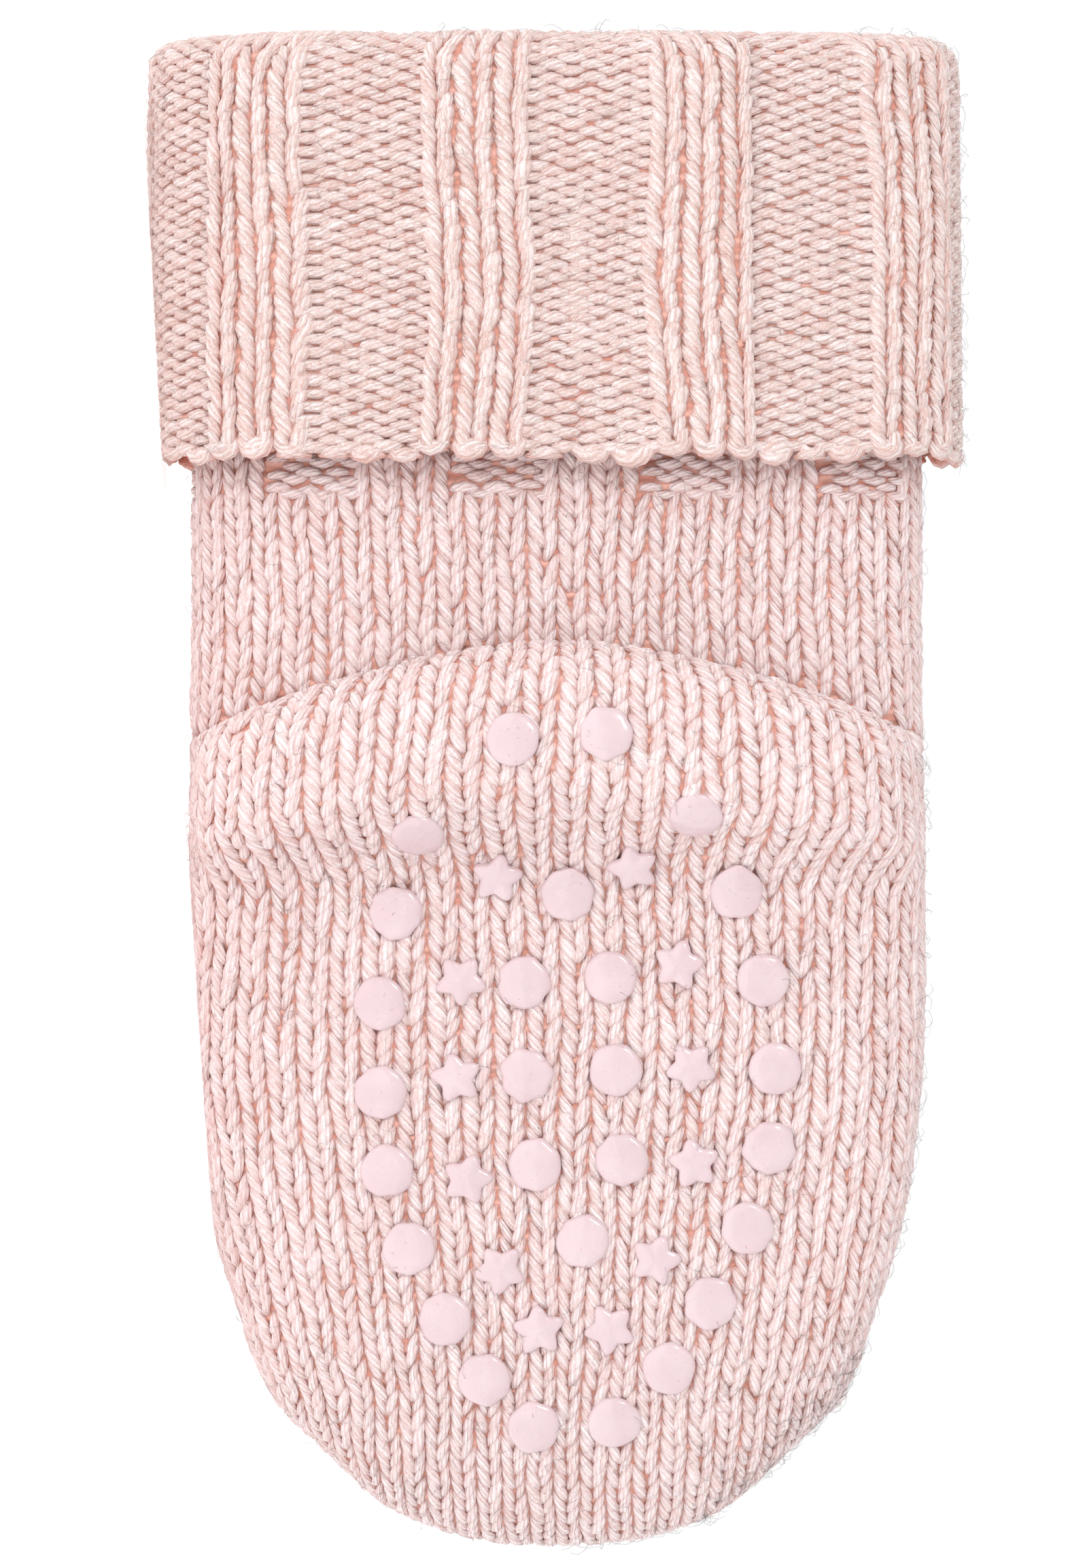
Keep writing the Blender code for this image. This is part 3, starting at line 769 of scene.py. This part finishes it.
class Nodes:
    """A material's node tree, written one node a line."""

    def __init__(self, name):
        self.material = bpy.data.materials.new(name)
        self.material.use_nodes = True
        self.tree = self.material.node_tree
        self.shader = self.tree.nodes["Principled BSDF"]

    def fill(self, socket, value):
        if isinstance(value, bpy.types.NodeSocket):
            self.tree.links.new(value, socket)
        else:
            socket.default_value = value

    def add(self, kind, inputs=(), **settings):
        node = self.tree.nodes.new(kind)
        for key, value in settings.items():
            setattr(node, key, value)
        for key, value in dict(inputs).items():
            self.fill(node.inputs[key], value)
        return node

    def attribute(self, name):
        return self.add("ShaderNodeAttribute", attribute_name=name)

    def noise(self, vector, scale, detail=2.0, roughness=0.5):
        inputs = {"Vector": vector, "Scale": scale, "Detail": detail, "Roughness": roughness}
        return self.add("ShaderNodeTexNoise", inputs).outputs["Fac"]

    def ramp(self, factor, stops):
        node = self.add("ShaderNodeValToRGB", {"Fac": factor})
        node.color_ramp.elements[0].position, node.color_ramp.elements[0].color = stops[0]
        node.color_ramp.elements[1].position, node.color_ramp.elements[1].color = stops[-1]
        for position, colour in stops[1:-1]:
            node.color_ramp.elements.new(position).color = colour
        return node.outputs["Color"]

    def math(self, operation, a, b=0.0):
        return self.add("ShaderNodeMath", {0: a, 1: b}, operation=operation).outputs[0]

    def blend(self, factor, a, b):
        node = self.add("ShaderNodeMix", data_type="RGBA")
        for key, value in (("Factor_Float", factor), ("A_Color", a), ("B_Color", b)):
            self.fill(next(s for s in node.inputs if s.identifier == key), value)
        return next(s for s in node.outputs if s.identifier == "Result_Color")

    def position(self):
        return self.add("ShaderNodeTexCoord").outputs["Object"]

    def bump(self, height, distance, strength=1.0, normal=None):
        inputs = {"Height": height, "Distance": distance, "Strength": strength}
        if normal is not None:
            inputs["Normal"] = normal
        return self.add("ShaderNodeBump", inputs).outputs["Normal"]

    def finish(self, colour, roughness, normal=None, **extra):
        inputs = {"Base Color": colour, "Roughness": roughness, **extra}
        if normal is not None:
            inputs["Normal"] = normal
        for key, value in inputs.items():
            self.fill(self.shader.inputs[key.replace("_", " ")], value)
        return self.material


def wool(name, pale, fair, rose):
    """Heathered yarn: pale and rosy strands wound round it, with painted shade: rosier and darker where
    it dives into the fabric and in the grooves between its plies.
    """
    nodes = Nodes(name)
    strand = nodes.attribute("strand").outputs["Vector"]
    tone = nodes.attribute("tone").outputs["Fac"]
    parts = nodes.add("ShaderNodeSeparateXYZ", {"Vector": strand}).outputs
    angle = nodes.math("ARCTAN2", parts["Y"], parts["X"])
    start = nodes.math("MULTIPLY", tone, 90.0)
    along = nodes.math("ADD", nodes.math("MULTIPLY", parts["Z"], 0.17), start)
    thread = nodes.add("ShaderNodeCombineXYZ", {"X": parts["X"], "Y": parts["Y"], "Z": along}).outputs[0]
    streaks = nodes.noise(thread, scale=2.1, detail=2.0, roughness=0.65)
    fibres = nodes.noise(thread, scale=8.0, detail=1.0, roughness=0.6)
    bend = nodes.math("ADD", nodes.math("MULTIPLY", angle, 3.0), nodes.math("MULTIPLY", streaks, 2.6))
    plies = nodes.math("ABSOLUTE", nodes.math("SINE", bend))
    colour = nodes.ramp(streaks, [(0.35, rose), (0.48, fair), (0.61, pale)])
    hairs = nodes.ramp(fibres, [(0.54, grey(0)), (0.66, grey(0.75))])
    colour = nodes.blend(hairs, colour, HAIR)
    tint = nodes.ramp(tone, [(0.0, rose), (0.45, fair), (1.0, pale)])
    colour = nodes.blend(0.22, colour, tint)
    patches = nodes.noise(nodes.position(), scale=95.0, detail=1.0)
    colour = nodes.blend(nodes.math("MULTIPLY", patches, 0.3), colour, fair)
    # Painted shade: rosier and darker in the grooves between the plies
    groove_shade = nodes.math("POWER", nodes.math("SUBTRACT", 1.0, plies), 2.0)
    colour = nodes.blend(nodes.math("MULTIPLY", groove_shade, 0.45), colour, rose)
    # Painted shade: the yarn turns rosier and darker the deeper it lies in the fabric
    deep = nodes.attribute("deep").outputs["Fac"]
    colour = nodes.blend(nodes.math("POWER", deep, 1.05), colour, PAINTED_GAP_SHADE)
    relief = nodes.math("ADD", nodes.math("MULTIPLY", plies, 0.10), nodes.math("MULTIPLY", streaks, 0.10))
    relief = nodes.math("ADD", relief, nodes.math("MULTIPLY", fibres, 0.035))
    normal = nodes.bump(relief, 1.0 * MM)
    rough = nodes.math("ADD", nodes.math("MULTIPLY", fibres, 0.2), 0.72)
    sheen = {"Sheen_Weight": 0.2, "Sheen_Roughness": 0.5}
    return nodes.finish(colour, rough, normal, Specular_IOR_Level=0.2, **sheen)


def ground(name, light, dark):
    """The fabric between and behind the stitches, seen as loops from inside, coloured darker and rosier
    than the yarn as painted shade in the gaps.
    """
    nodes = Nodes(name)
    place_in = nodes.position()
    loops = nodes.noise(place_in, scale=900.0)
    bands = {"Vector": place_in, "Scale": 180.0, "Distortion": 3.0, "Detail": 2.0}
    waves = nodes.add("ShaderNodeTexWave", bands, bands_direction="X").outputs["Fac"]
    colour = nodes.ramp(nodes.blend(0.5, loops, waves), [(0.25, dark), (0.75, light)])
    normal = nodes.bump(waves, 0.5 * MM)
    normal = nodes.bump(loops, 0.2 * MM, normal=normal)
    return nodes.finish(colour, 0.9, normal, Specular_IOR_Level=0.2)


def rubber(name, base, pale, speck):
    """Soft printed rubber, glossy on top, with dust and tiny pits in it."""
    nodes = Nodes(name)
    where = nodes.position()
    cloud = nodes.noise(where, scale=260.0, detail=3.0)
    colour = nodes.ramp(cloud, [(0.35, base), (0.65, pale)])
    dust = nodes.noise(where, scale=2600.0, detail=1.0)
    colour = nodes.blend(nodes.ramp(dust, [(0.70, grey(0)), (0.76, grey(0.45))]), colour, speck)
    dents = nodes.noise(where, scale=420.0)
    pits = nodes.add("ShaderNodeTexVoronoi", {"Vector": where, "Scale": 900.0}).outputs["Distance"]
    pits = nodes.ramp(pits, [(0.0, grey(0)), (0.22, grey(1))])
    normal = nodes.bump(dents, 0.25 * MM, strength=0.6)
    normal = nodes.bump(pits, 0.05 * MM, strength=0.6, normal=normal)
    rough = nodes.math("ADD", nodes.math("MULTIPLY", dents, 0.25), 0.14)
    coat = {"Coat_Weight": 1.0, "Coat_Roughness": 0.06}
    soft = {"Subsurface_Weight": 0.15, "Subsurface_Scale": 1.0 * MM}
    return nodes.finish(colour, rough, normal, **coat, **soft)


# Pieces


def body_ground(shift, finish):
    """The fabric of foot and leg under the stitches, from the toe up to the collar and back inside."""
    outer_at = np.concatenate([stations_down(COLLAR, 1.2 * MM)[::-1][::6], [COLLAR]])
    outer_at = np.unique(np.round(outer_at, 7))
    turns = np.array([even_turns(a, 0.0, BODY_SIDES) for a in outer_at])
    base = place(np.repeat(outer_at[:, None], BODY_SIDES, axis=1), turns)
    around = np.roll(base, -1, axis=1) - np.roll(base, 1, axis=1)
    normals = unit(np.cross(np.gradient(base, axis=0), around))
    normals = outwards(normals, base - base.mean(axis=1, keepdims=True))
    outer = base - normals * SKIN_DEPTH
    inner = (base - normals * (WALL - 0.2 * MM))[outer_at > TOE_HOLLOW][::-1]
    rings = np.concatenate([outer, inner])
    tips = [outer[:1].mean(axis=1) - np.array([TIP_LEAD, 0, 0]), inner[-1:].mean(axis=1)]
    points = np.concatenate([rings.reshape(-1, 3), *tips])
    faces = capped_faces(len(rings), BODY_SIDES)
    return mesh_piece("body_ground", lay_down(points, shift, GROUND_LIFT), faces, finish)


def cuff_ground(shift, finish):
    """The ribbing's fabric under its stitches, a closed ring."""
    shown = cuff_path(SKIN_DEPTH, inside=0.0)
    crook = arc((FOLD_START, CUFF_EASE / 2 + 0.1 * MM), CUFF_EASE / 2 + 0.2 * MM, 90, -90, 6)
    inside = [(a, CUFF_EASE + 0.3 * MM) for a in np.linspace(HEM + SKIN_DEPTH, FOLD_START, 20)]
    path = np.concatenate([shown[::2], inside[:-1:3], crook, [(COLLAR, -0.2 * MM)]])
    rings = cuff_rings(path, CUFF_SIDES, shift)
    faces = shell_faces(len(path), CUFF_SIDES, closed=True)
    return mesh_piece("cuff_ground", rings.reshape(-1, 3), faces, finish)


def outline(name, angles):
    """Distance of a grip's edge from its middle at those angles."""
    kind, number = name.split("_")[1:]
    if kind == "dot":
        return np.full(angles.shape, DOT_DIAMETER / 2)
    phase = (angles - STAR_TURN * int(number)) % (2 * math.pi / 5) / (2 * math.pi / 5)
    point = abs(phase - 0.5) * 2  # 1 on an arm, 0 in a waist
    rounded = 0.45 * smooth(point) + 0.55 * point**1.5
    return STAR_DIAMETER / 2 * mix(STAR_WAIST * 1.1, 1.03, rounded)


def grip(node, sole, finish, rng):
    """A soft dome of rubber that has sunk a little into the stitches under it."""
    name = node.name
    low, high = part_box(name)
    start = (low + high) / 2 - Vector((0, 20 * MM, 0))
    seat, normal, *_ = sole.ray_cast(start, Vector((0, 1, 0)))
    side = normal.cross(Vector((1, 0, 0))).normalized()
    up = side.cross(normal)
    angles = np.arange(GRIP_SIDES) * 2 * math.pi / GRIP_SIDES
    waves = sum(
        rng.normal(0, GRIP_WAVE) * np.cos(k * angles + rng.uniform(0, 6.3)) for k in (2, 3, 5, 7, 9)
    )
    edge = outline(name, angles) * (1 + waves)
    points = []
    for part, level in GRIP_PROFILE:
        for angle, reach in zip(angles, edge):
            spot = seat + (up * math.cos(angle) + side * math.sin(angle)) * (reach * part)
            hit = sole.ray_cast(spot + normal * 10 * MM, -normal)[0] or spot
            points.append(hit + normal * (level * GRIP_HEIGHT + GRIP_RAISE))
    points.append(seat + normal * (GRIP_PROFILE[0][1] * GRIP_HEIGHT))
    points.append(seat + normal * (GRIP_CROWN * GRIP_HEIGHT + GRIP_RAISE))
    faces = capped_faces(len(GRIP_PROFILE), GRIP_SIDES)
    return mesh_piece(name.replace("grip_", "rubber_"), [tuple(p) for p in points], faces, finish)


SeamStitch = namedtuple("SeamStitch", "along height wide")
SEAM_STITCH = SeamStitch(*np.array([  # from end to end, in millimetres apart from along
    [-1.0, -0.5, 0.0, 0.5, 1.0],
    [-0.35, 0.25, 0.5, 0.25, -0.35],
    [0.22, 0.40, 0.46, 0.40, 0.22],
]))
SeamRow = namedtuple("SeamRow", "off half slant lift")
SEAM_ROWS = [  # off the seam's line, half a stitch's reach, its slant (None is random) and its lift
    SeamRow(0.55, 0.9375, 0.75, 0.0),
    SeamRow(-0.55, 0.9375, -0.75, 0.0),
    SeamRow(0.0, 1.125, None, 0.25),
]


def seam_yarn(shift, rng):
    """The linked toe seam: two rows of slanting stitches and one across them, a little uneven."""
    t = np.linspace(-1.0, 1.0, 400)
    turns = np.interp(t, [-1.0, 0.0, 1.0], [SEAM_LEFT, math.pi, SEAM_RIGHT])
    along = SEAM_SET + (SEAM_CORNER - SEAM_SET) * t * t
    line = lay_down(place(along, turns, 0.15 * MM), shift)
    out = unit(lay_down(place(along, turns, 1.15 * MM), shift) - line)
    walked = walk_along(line)
    count = int(walked[-1] / SEAM_PITCH)
    lots = []
    for number, row in enumerate(SEAM_ROWS):
        middles = (np.arange(count) + 0.5 + 0.33 * number) / count * walked[-1]
        middles = middles + rng.normal(0, SEAM_MESS, count)
        slant = rng.normal(0, 0.25, (count, 1)) if row.slant is None else row.slant
        go = middles[:, None] + slant * SEAM_STITCH.along * MM
        off = (row.off + row.half * SEAM_STITCH.along) * MM + rng.normal(0, SEAM_MESS, (count, 1))
        go = np.clip(go, 0.0, walked[-1])
        centre, up = read_line(go, walked, line), read_line(go, walked, out)
        ahead = read_line(go + 0.1 * MM, walked, line) - read_line(go - 0.1 * MM, walked, line)
        across = unit(np.cross(up, ahead))
        heights = (SEAM_STITCH.height + row.lift) * MM + rng.normal(0, 0.07 * MM, (count, 1))
        near_end = np.clip(1 - np.minimum(go, walked[-1] - go) / SEAM_TUCK, 0, 1)
        heights = heights - SEAM_DIVE * near_end**2
        centres = centre + across * off[..., None] + up * heights[..., None]
        wide = SEAM_STITCH.wide * MM * np.ones((count, 1))
        lots.append(tubes(centres, up, wide, wide, np.full(heights.shape, -0.2 * MM), rng))
    return join(lots)


FIBRE_RADIUS = 0.022 * MM
FIBRE_LENGTHS = (0.9, 3.0)  # shortest and longest, in millimetres
ANY_WAY = (-2.0, 2.0)


def fuzz(field, count, rng, low, high, lift, facing=ANY_WAY):
    """Loose fibres between two corners of the field, given by wale and course.

    They stand up to lift millimetres off the yarn. Facing is the range of the fabric's outward y.
    """
    wale = rng.uniform(low[0], high[0], count)
    row = rng.uniform(low[1], high[1], count)
    if field.first is not None:
        first = np.interp(wale, field.wale, field.first)
        last = np.interp(wale, field.wale, field.last)
        keep = (row > first) & (row < last)
        wale, row = wale[keep], row[keep]
    points, normals = at(field, wale, row)
    keep = (normals[:, 1] > facing[0]) & (normals[:, 1] < facing[1])
    points, normals = points[keep], normals[keep]
    count = len(points)
    heading = rng.normal(0, 1.0, (count, 3))
    heading -= normals * np.sum(heading * normals, axis=-1, keepdims=True)
    heading = unit(heading)
    curl = np.cross(normals, heading)
    length = rng.uniform(*FIBRE_LENGTHS, (count, 1)) * MM
    bend = rng.normal(0, 0.45, (count, 1)) * MM
    rise = rng.uniform(0.1, lift, (count, 1)) * MM
    q = np.array([0.0, 0.33, 0.66, 1.0])
    centres = (
        points[:, None]
        + normals[:, None] * (-0.25 * MM + rise * np.sin(q * 2.4))[..., None]
        + heading[:, None] * (length * q)[..., None]
        + curl[:, None] * (bend * np.sin(q * 4.0))[..., None]
    )
    thin = np.full((count, 4), FIBRE_RADIUS) * np.array([1.0, 1.0, 0.8, 0.4])
    ups = np.repeat(normals[:, None], 4, axis=1)
    return tubes(centres, ups, thin, thin, np.zeros_like(thin), rng, sides=3)


# Stage


def add_floor():
    corners = [(x * FLOOR_HALF, y * FLOOR_HALF, 0.0) for x, y in ((-1, -1), (1, -1), (1, 1), (-1, 1))]
    nodes = Nodes("floor_paper")
    grain = nodes.noise(nodes.position(), scale=60.0)
    colour = nodes.ramp(grain, [(0.0, grey(0.93)), (1.0, grey(0.95))])
    paper = nodes.finish(colour, 0.9, Emission_Color=grey(1), Emission_Strength=0.6)
    floor = mesh_piece("floor", corners, [(0, 1, 2, 3)], paper)
    floor.location.z = -FLOOR_GAP


def add_lamp():
    light = bpy.data.lights.new("key", "AREA")
    light.shape = "DISK"
    light.size = KEY_SIZE
    light.energy = KEY_POWER
    lamp = add_object("key", light)
    lamp.location = KEY_FROM
    lamp.rotation_mode = "QUATERNION"
    lamp.rotation_quaternion = (Vector(KEY_TO) - Vector(KEY_FROM)).to_track_quat("-Z", "Y")


def add_camera(shift):
    """Looks at the sole square on, rolled so that the toe points down the picture."""
    _, _, tilt = rest_line()
    right = Vector((math.sin(tilt), 0, math.cos(tilt)))
    up = Vector((-math.cos(tilt), 0, math.sin(tilt)))
    along = (PICTURE_TIP[1] - PICTURE[1] / 2) * PICTURE_SCALE
    across = (PICTURE[0] / 2 - PICTURE_TIP[0]) * PICTURE_SCALE
    aim = Vector(lay_down(np.array([along, across, 0.0]), shift))
    camera = bpy.data.cameras.new("camera")
    camera.sensor_width = SENSOR
    camera.lens = SENSOR * CAMERA_DISTANCE / (PICTURE[1] * PICTURE_SCALE)
    camera.clip_start = 0.01
    camera.clip_end = 20.0
    rig = add_object("camera", camera)
    at_rest = aim - Vector((0, CAMERA_DISTANCE, 0))
    rows = [(right[i], up[i], (0, -1, 0)[i], at_rest[i]) for i in range(3)]
    rig.matrix_world = Matrix([*rows, (0, 0, 0, 1)])
    bpy.context.scene.camera = rig


def add_world():
    world = bpy.data.worlds.new("studio")
    world.use_nodes = True
    background = world.node_tree.nodes["Background"]
    background.inputs["Color"].default_value = grey(1)
    background.inputs["Strength"].default_value = 1.0
    bpy.context.scene.world = world
    bpy.context.scene.view_settings.view_transform = "Standard"


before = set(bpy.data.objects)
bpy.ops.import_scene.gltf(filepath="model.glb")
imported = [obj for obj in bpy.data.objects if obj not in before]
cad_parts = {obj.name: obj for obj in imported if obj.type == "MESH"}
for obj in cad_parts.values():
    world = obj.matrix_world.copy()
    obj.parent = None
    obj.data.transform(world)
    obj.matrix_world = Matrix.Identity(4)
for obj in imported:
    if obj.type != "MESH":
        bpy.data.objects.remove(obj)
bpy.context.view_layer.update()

body_low, body_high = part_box("sock_body")
tip_x = lay_down(np.zeros(3))[0]
shift = (body_high.x - tip_x, body_low.y + SOLE_DEPTH + HEEL_DEPTH)

add_camera(shift)
add_world()
add_floor()
add_lamp()

plain_wool = wool("plain_knit", *PLAIN_SHADES)
rib_wool = wool("rib_knit", *RIB_SHADES)
seam_wool = wool("seam_yarn", *SEAM_SHADES)
gap_shade_ground = ground("plain_ground", *GROUND_SHADE_COLOURS)
rubber_finish = rubber("grip_rubber", *RUBBER_SHADES)

tables = turn_tables()
leg_field = knit_field(tables, leg_line, shift)
sole_field = knit_field(tables, sole_line, shift)
instep_field = knit_field(tables, instep_line, shift)
rib_field = cuff_field(shift)

rng = np.random.default_rng(20)
leg_rows = np.interp(0, leg_field.wale, leg_field.last)
instep_split = math.floor(leg_rows) + INSTEP_SPLIT
pieces = {
    "leg_front_knit": plain(leg_field, rng, under_rib),
    "leg_back_knit": plain(instep_field, rng, under_back_rib, high=instep_split, around=5),
    "heel_knit": plain(sole_field, rng, high=HEEL_END),
    "sole_knit": plain(sole_field, rng, low=HEEL_END + 1, high=TOE_START),
    "toe_knit": plain(sole_field, rng, low=TOE_START + 1),
    "instep_knit": plain(instep_field, rng, low=instep_split + 1, around=5),
}
made = {name: yarn_piece(name, yarn, plain_wool) for name, yarn in pieces.items()}
ribs, panels = ribbing(rib_field, rng)
made["cuff_ribs"] = yarn_piece("cuff_ribs", ribs, rib_wool)
made["cuff_panels"] = yarn_piece("cuff_panels", panels, rib_wool)
made["toe_seam_yarn"] = yarn_piece("toe_seam_yarn", seam_yarn(shift, rng), seam_wool)
made["body_ground"] = body_ground(shift, gap_shade_ground)
made["cuff_ground"] = cuff_ground(shift, gap_shade_ground)

edge = HALF_WALES
loose = [
    fuzz(leg_field, 380, rng, (-edge, 0.0), (edge, leg_rows), 1.2),
    fuzz(sole_field, 1700, rng, (-edge, -28.0), (edge, 42.0), 1.2),
    fuzz(instep_field, 1100, rng, (-edge, 0.0), (edge, 70.0), 1.2),
    fuzz(rib_field, 1200, rng, (0.0, -34.0), (WALES, 0.0), 1.3),
    fuzz(sole_field, 1600, rng, (6.0, 20.0), (edge, 48.0), 0.5, (-0.8, -0.15)),
]
made["fuzz"] = yarn_piece("fuzz", join(loose), seam_wool)

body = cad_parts["sock_body"].data
body_points = [vertex.co.copy() for vertex in body.vertices]
sole = BVHTree.FromPolygons(body_points, [tuple(face.vertices) for face in body.polygons])
for name, node in sorted(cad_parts.items()):
    if name.startswith("grip_"):
        piece = grip(node, sole, rubber_finish, rng)
        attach(piece, "root")
        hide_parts(name)

for name, piece in made.items():
    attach(piece, "root")
    cuff_piece = name.startswith("cuff")
    seam_piece = name.startswith("toe_seam")
    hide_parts("turned_cuff" if cuff_piece else "toe_seam" if seam_piece else "sock_body")
